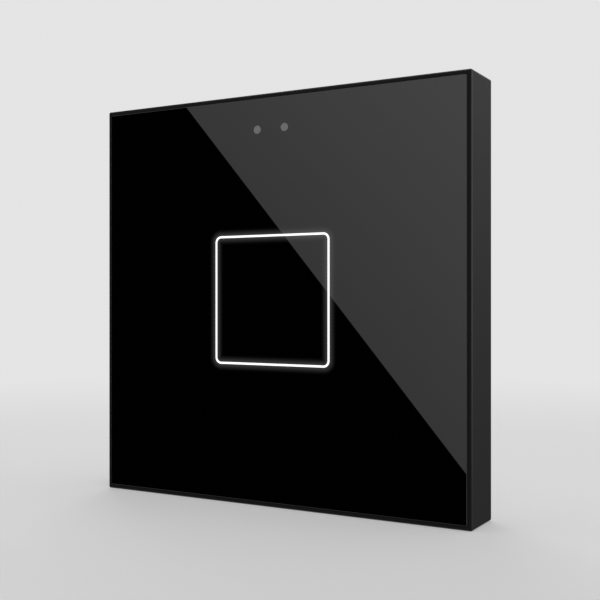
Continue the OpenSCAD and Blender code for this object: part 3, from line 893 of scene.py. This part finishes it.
# %% [markdown]
# ## Places and sizes from the solids
# The places of the repeated parts could be written down once more, but then they would stay behind when the
# solids change. Each island of a node's mesh gives a box, and the box gives the place and the size.

# %% Islands, and a recipe at work
def islands(node):
    """Low and high corner of each separate solid in a node."""
    shape = welded(node)
    left = set(shape.verts)
    boxes = []
    while left:
        island, edge = set(), [left.pop()]
        while edge:
            vertex = edge.pop()
            island.add(vertex)
            near = {link.other_vert(vertex) for link in vertex.link_edges} & left
            left -= near
            edge.extend(near)
        spread = [[vertex.co[i] for vertex in island] for i in range(3)]
        boxes.append((Vector(map(min, spread)), Vector(map(max, spread))))
    shape.free()
    return sorted(boxes, key=lambda box: tuple(box[0]))


def middle_of(low, high):
    return ((low.x + high.x) / 2, (low.z + high.z) / 2)


def grow(node, tree, places, turns, facing, foot, sizes, rounding=0.0):
    """Runs a recipe on flat places and stands the result up at depth foot, facing +Y (1) or -Y (-1)."""
    mesh = bpy.data.meshes.new(node)
    mesh.from_pydata([(x, -facing * z, 0) for x, z in places], [], [])
    mesh.attributes.new("turn", "FLOAT", "POINT").data.foreach_set("value", turns)
    piece = put_in_scene("detailed_" + node, mesh)
    recipe = piece.modifiers.new("recipe", "NODES")
    recipe.node_group = tree
    for item in tree.interface.items_tree:
        if item.in_out == "INPUT" and item.name in sizes:
            recipe[item.identifier] = sizes[item.name]
        if item.name == "Finish":
            recipe[item.identifier] = finishes[slot_of[node]]
    settle(piece)
    piece.data.transform(Matrix.Translation((0, foot, 0)) @ Matrix.Rotation(-facing * math.pi / 2, 4, "X"))
    piece.data.shade_smooth()
    piece.data.set_sharp_from_angle(angle=curve_angle)
    if rounding:
        round_edges(piece, rounding)
        settle(piece)
    return stand_for(piece, node)


print("islands of the cover screws:", len(islands("cover_screws")))

# %% [markdown]
# ## Parts with two tinned ends
# Resistors, capacitors and LEDs on a board look alike: a small block between two metal caps. Each kind
# could have a recipe of its own, but three boxes with sizes as inputs serve them all. A part that stands
# upright on the board is turned by a quarter.

# %% Two-ended parts
board_low, board_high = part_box("circuit_board")
cap_share = 0.2
cap_lip = 0.05 * MM
part_rounding = 0.03 * MM
part_facing = {"passive_parts": 1, "buffer_capacitors": 1, "program_led": 1, "ring_leds": -1}


def two_ended_recipe():
    recipe = Recipe("two-ended part")
    length, width, height, cap, lip = recipe.sizes("Length", "Width", "Height", "Cap", "Lip")
    body = recipe.box(length - cap * 2, width - lip * 2, height - lip)
    off = (length - cap) / 2
    caps = [recipe.box(cap, width, height, x=place) for place in (off, -off)]
    return recipe.serve(recipe.join(body, recipe.tinned(recipe.join(*caps))))


def two_ended_parts(node, tree, facing):
    boxes = islands(node)
    spans = [high - low for low, high in boxes]
    width, length = sorted((spans[0].x, spans[0].z))
    turns = [0.0 if span.x > span.z else math.pi / 2 for span in spans]
    sizes = {"Length": length, "Width": width, "Height": spans[0].y,
             "Cap": length * cap_share, "Lip": cap_lip}
    foot = board_high.y if facing > 0 else board_low.y
    return grow(node, tree, [middle_of(*box) for box in boxes], turns, facing, foot, sizes, part_rounding)


two_ended = two_ended_recipe()
for node, facing in part_facing.items():
    print(node, "faces:", len(two_ended_parts(node, two_ended, facing).data.polygons))

# %% [markdown]
# ## Chips with bent legs
# A chip's legs leave the body at half its height, bend down and end in a flat foot. A leg could be a bent
# mesh, but a line of four points swept with a small rectangle follows any chip's height. Rows of legs are
# copies along a line, and the rows are turned round the body.

# %% Chip recipe
leg_points = 4
high_points = 2


def chip_recipe(rows):
    recipe = Recipe(f"chip with {rows} rows of legs")
    length, width, height = recipe.sizes("Length", "Width", "Height")
    reach, leg_width, thickness = recipe.sizes("Reach", "Leg width", "Thickness")
    legs = recipe.take("Legs", "NodeSocketInt")
    index = recipe.node("GeometryNodeInputIndex")
    line = recipe.node("GeometryNodeResampleCurve", sockets={
        "Curve": recipe.node("GeometryNodeCurvePrimitiveLine"), "Count": leg_points})
    is_high = (high_points - 0.5 - index).over(0.0)
    level = is_high * (height / 2 - thickness / 2) + thickness / 2
    bent = recipe.node("GeometryNodeSetPosition", sockets={
        "Geometry": line, "Position": recipe.vector(0.0, index * reach / (leg_points - 1), level)})
    profile = recipe.node("GeometryNodeCurvePrimitiveQuadrilateral", sockets={
        "Width": leg_width, "Height": thickness})
    leg = recipe.node("GeometryNodeCurveToMesh", sockets={
        "Curve": bent, "Profile Curve": profile, "Fill Caps": True})
    step = length / (legs + 1)
    row = recipe.node("GeometryNodeMeshLine", sockets={
        "Count": legs, "Start Location": recipe.vector(step - length / 2, width / 2, 0.0),
        "Offset": recipe.vector(step, 0.0, 0.0)})
    side = recipe.node("GeometryNodeInstanceOnPoints", sockets={"Points": row, "Instance": leg})
    sides = [recipe.move(side, (0, 0, 0), 2 * math.pi * i / rows) for i in range(rows)]
    legs_all = recipe.node("GeometryNodeRealizeInstances", sockets={0: recipe.join(*sides)})
    body = recipe.box(length, width, height - thickness, z=thickness)
    return recipe.serve(recipe.join(body, recipe.tinned(legs_all)))


chip_recipes = {rows: chip_recipe(rows) for rows in (2, 4)}
print("chip recipes:", [tree.name for tree in chip_recipes.values()])

# %% Chips
leg_reach = 0.6 * MM
chip_rounding = 0.02 * MM
legs_and_rows = {
    "microcontroller": (8, 4),
    "bus_transceiver": (7, 2),
    "surge_diode": (1, 2),
    "voltage_regulator": (3, 2),
    "temperature_sensor": (3, 2),
}
for node, (legs, rows) in legs_and_rows.items():
    low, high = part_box(node)
    span = high - low
    sizes = {
        "Length": span.x - (2 * leg_reach if rows == 4 else 0),
        "Width": span.z - 2 * leg_reach,
        "Height": span.y,
        "Legs": legs,
        "Reach": leg_reach,
        "Thickness": 0.15 * MM,
        "Leg width": 0.3 * MM,
    }
    place = middle_of(low, high)
    piece = grow(node, chip_recipes[rows], [place], [0.0], 1, board_high.y, sizes, chip_rounding)
    print(node, "faces:", len(piece.data.polygons))

# %% [markdown]
# ## Cover screws
# Four cross-head screws hold the cover. The head is a cylinder whose outer edge is pulled in, with a cross
# cut out of it. The thread could be a swept helix, but its ends are hard to close. Here it is a cylinder
# too: its radius follows a saw wave of height and angle, which winds round the shank and fades out at the
# tip.

# %% Screw recipe
head_round_share = 0.4
head_pull = 0.12
# Two cuts that end in one plane would leave stray faces, so one slot is a little deeper
slot_depth_shares = (0.5, 0.55)
# The shank ends inside the head, this share of the head's height below its top
shank_top_share = 0.7
head_around, head_along = 48, 8
shank_around, shank_along = 28, 72


def screw_recipe():
    recipe = Recipe("cover screw")
    head_radius, head_height, narrow, wide = recipe.sizes(
        "Head radius", "Head height", "Cross width", "Cross length")
    shank_radius, length, pitch, depth = recipe.sizes("Shank radius", "Length", "Pitch", "Thread depth")
    position = recipe.node("GeometryNodeInputPosition")
    x, y, z = (recipe.part_of(position, letter) for letter in "XYZ")

    def cylinder(radius, foot, top, around, along):
        made = recipe.node("GeometryNodeMeshCylinder", sockets={
            "Vertices": around, "Side Segments": along, "Radius": radius, "Depth": top - foot})
        return recipe.move(made, recipe.vector(0.0, 0.0, (top + foot) / 2))

    def pull(shape, factor):
        return recipe.node("GeometryNodeSetPosition", sockets={
            "Geometry": shape, "Position": recipe.vector(x * factor, y * factor, z)})

    def combine(operation, sockets):
        return recipe.node("GeometryNodeMeshBoolean", {"operation": operation}, sockets)

    near_top = (1 - (length - z) / (head_height * head_round_share)).most(0.0)
    disc = cylinder(head_radius, length - head_height, length, head_around, head_along)
    head = pull(disc, 1 - near_top ** 2 * head_pull)
    slots = zip((narrow, wide), (wide, narrow), slot_depth_shares)
    cuts = [recipe.box(a, b, head_height, z=length - head_height * share) for a, b, share in slots]
    head = combine("DIFFERENCE", {"Mesh 1": head, "Mesh 2": cuts})
    angle = recipe.node("ShaderNodeMath", {"operation": "ARCTAN2"}, {0: y, 1: x}) / (2 * math.pi)
    ridge = 1 - abs((z / pitch - angle).fraction() * 2 - 1)
    fade = (z / pitch).least(1.0)
    rod = cylinder(shank_radius, 0.0, length - head_height * shank_top_share, shank_around, shank_along)
    shank = pull(rod, 1 - depth / shank_radius * (1 - ridge * fade))
    return recipe.serve(combine("UNION", {"Mesh 2": [head, shank]}))


screw_tree = screw_recipe()
print("nodes in the screw recipe:", len(screw_tree.nodes))

# %% Screws
screw_turns = [0.3, 1.1, 0.7, 1.4]
screw_boxes = islands("cover_screws")
screw_low, screw_high = screw_boxes[0]
screw_sizes = {
    "Head radius": (screw_high.x - screw_low.x) / 2,
    "Head height": 1.2 * MM,
    "Shank radius": 0.95 * MM,
    "Length": screw_high.y - screw_low.y,
    "Pitch": 0.7 * MM,
    "Thread depth": 0.18 * MM,
    "Cross width": 0.55 * MM,
    "Cross length": 2.3 * MM,
}
screw_places = [middle_of(*box) for box in screw_boxes]
screws = grow("cover_screws", screw_tree, screw_places, screw_turns, 1, screw_low.y, screw_sizes)
print("screws:", len(screw_places), "faces:", len(screws.data.polygons))

# %% [markdown]
# ## The studio
# Black glass mirrors all that stands before it, so a photographer hangs black cloth: one at the front left
# for the glass, one at the back right for the side of the frame, and one low on the right for the lower end
# of the frame's polished bevel. Real cloths would stand in the way of other views, so the world has them as
# dark patches that only mirror rays see. To the camera it looks pale, and it lights evenly.

# %% World
pale = 0.78
ambient = 0.2
band_edges = (0.4, 0.8)
ceiling_share = 0.2
ground_share = 0.5
# Direction of each cloth, and the angles in degrees at which it begins and is fully dark
cloths = {
    "glass": ((-0.47, -0.88, 0.0), 38, 24),
    "side": ((0.3, 0.94, -0.15), 28, 15),
    "bevel": ((0.85, -0.28, -0.6), 34, 10),
}


def studio_world():
    world = bpy.data.worlds.new("studio")
    scene.world = world
    world.use_nodes = True
    sheet = Sheet(world.node_tree)
    direction = sheet.node("ShaderNodeTexCoord", out="Generated")
    mirrored = pale
    for middle, outer, inner in cloths.values():
        toward = sheet.node("ShaderNodeVectorMath", {"operation": "DOT_PRODUCT"},
                            {0: direction, 1: Vector(middle).normalized()}, out="Value")
        edges = (math.cos(math.radians(angle)) for angle in (outer, inner))
        mirrored = sheet.ramp(toward, *edges, start=1.0, end=0.0) * mirrored
    height = sheet.part_of(direction, "Z")
    mirrored = sheet.ramp(height, *band_edges, start=1.0, end=ceiling_share) * mirrored
    mirrored = sheet.ramp(-height, *band_edges, start=1.0, end=ground_share) * mirrored
    seen, glossy, through = (sheet.node("ShaderNodeLightPath", out=f"Is {ray} Ray")
                             for ray in ("Camera", "Glossy", "Transmission"))
    plain = seen.most(through)
    level = glossy * mirrored + (1 - glossy) * ambient
    background = world.node_tree.nodes["Background"]
    sheet.plug(background.inputs["Strength"], plain * pale + (1 - plain) * level)
    sheet.plug(background.inputs["Color"], grey(1))


studio_world()
print("world strength for the camera:", pale, "for soft light:", ambient)

# %% [markdown]
# ## The floor
# The floor is matt paper, a pale disc whose edge fades into the pale surroundings, so no horizon shows. A
# curved backdrop would hide the horizon too, but it would stand in the way of the views from behind. Part
# of its brightness is its own, so the lamps needn't be strong enough to make it white, and it still takes
# the panel's soft shadow. Mirror rays pass it by and see the world.

# %% Floor
floor_radius = 3.0
floor_sides = 96
floor_drop = 0.05 * MM
floor_fade = (0.1, 0.36)
floor_own = 0.3
paper_greys = (0.76, 0.8)
paper_grain = 1 * MM
paper_roughness = 0.9


def pale_floor():
    finish = Finish("pale floor")
    radius = (finish.axis("X") ** 2 + finish.axis("Y") ** 2) ** 0.5
    finish.set({
        "Base Color": finish.blend(*map(grey, paper_greys), finish.noise(paper_grain)),
        "Roughness": paper_roughness,
        "Specular IOR Level": 0.0,
        "Emission Color": grey(1),
        "Emission Strength": floor_own,
    })
    far = finish.node("ShaderNodeEmission", sockets={"Strength": pale})
    near = Wire(finish, finish.shader.outputs[0])
    return finish.surface(finish.node("ShaderNodeMixShader", sockets={
        0: finish.ramp(radius, *floor_fade), 1: near, 2: far}))


disc = bmesh.new()
bmesh.ops.create_circle(disc, cap_ends=True, segments=floor_sides, radius=floor_radius)
floor = put_in_scene("floor", mesh_of(disc, "floor", pale_floor()))
floor.location.z = cad_box[0].z - floor_drop
floor.visible_glossy = False
floor.visible_diffuse = False
print("floor at z in mm:", round(floor.location.z / MM, 2))

# %% [markdown]
# ## The bright card
# The grey half of the glass is a bright card, mirrored. Grey paint would look wrong from every other side,
# so there is a real card. Its edge must show as the diagonal between two points at the edge of the glass:
# the camera is mirrored in the glass, and lines from there through the two points meet the card's plane at
# the ends of that edge. The card is a triangle that reaches up and to the right from it. Its right side
# stands where the photographed glass ends, so the glass is dark from the front.

# %% Card whose edge is the diagonal
edge_on_glass = [(39.6 * MM, -30.6 * MM), (-20.1 * MM, 39.7 * MM)]
card_y = -0.6
card_right = -0.16
card_overrun = 0.25
card_reach = 0.45
card_levels = (0.88, 2.0)

glass_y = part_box("front_glass")[0].y
mirror_camera = Vector((camera.location.x, 2 * glass_y - camera.location.y, camera.location.z))


def on_card(x, z):
    """Where a line from the mirrored camera through a point of the glass meets the card's plane."""
    ray = Vector((x, glass_y, z)) - mirror_camera
    return mirror_camera + ray * ((card_y - mirror_camera.y) / ray.y)


def card_light():
    finish = Finish("bright card")
    level = finish.blend(*map(grey, card_levels), finish.axis("Y") / card_reach)
    return finish.surface(finish.node("ShaderNodeEmission", sockets={"Color": level}))


edge_start, edge_end = (on_card(x, z) for x, z in edge_on_glass)
along = (edge_end - edge_start).normalized()
facing_panel = Vector((0, 1, 0))
away = facing_panel.cross(along)
lower_end = edge_start + along * ((card_right - edge_start.x) / along.x)
upper_end = edge_end + along * card_overrun
top_right = Vector((card_right, card_y, upper_end.z))
card_axes = Matrix((along, away, facing_panel)).transposed().to_4x4()
card_place = Matrix.Translation(edge_start) @ card_axes
card_corners = [card_place.inverted() @ corner for corner in (lower_end, upper_end, top_right)]
card_mesh = bpy.data.meshes.new("bright_card")
card_mesh.from_pydata(card_corners, [], [(0, 1, 2)])
card_mesh.materials.append(card_light())
card = put_in_scene("bright_card", card_mesh)
card.matrix_world = card_place
card.visible_camera = False
card.visible_diffuse = False
print("card edge in mm:", [[round(v / MM) for v in end] for end in (edge_start, edge_end)])

# %% [markdown]
# ## The lamps
# A small soft light close to the panel's right side lets that side fall from bright at the top to darker at
# the bottom. It leaves out the floor and the pane, which it would light unevenly. A broad light overhead
# fills in and keeps a soft shadow on the floor, and a third stands behind, for the plate and the terminal.
# A sun or spots could do it too, but only broad areas give soft shadows.

# %% Side light, top light and back light
def soft_light(name, place, target, size, radiance):
    """Square area light that looks radiance bright."""
    light = bpy.data.lights.new(name, "AREA")
    light.size = size
    light.energy = radiance * math.pi * size ** 2
    lamp = put_in_scene(name, light)
    lamp.location = place
    lamp.rotation_euler = (Vector(target) - Vector(place)).to_track_quat("-Z", "Y").to_euler()
    lamp.visible_camera = False
    return lamp


side_light = soft_light("side_light", place=(0.14, 0.01, 0.06), target=(0.04, 0, 0.06), size=0.08,
                        radiance=4.7)
side_light.visible_glossy = False
side_light.visible_transmission = False
left_out = bpy.data.collections.new("left out by the side light")
for unlit in (floor, pane):
    left_out.objects.link(unlit)
for link in left_out.collection_objects:
    link.light_linking.link_state = "EXCLUDE"
side_light.light_linking.receiver_collection = left_out
soft_light("top_light", place=(0.1, -0.05, 0.9), target=(0, 0, 0), size=0.9, radiance=0.9)
soft_light("back_light", place=(-0.4, 0.55, 0.5), target=(0, 0, 0), size=0.5, radiance=1.6)

# %% [markdown]
# ## Sizes and the end
# The real switch has one size, and finer edges may not make it outgrow the solids. The box round the
# solids is taken right after they are loaded, before any edge is rounded.
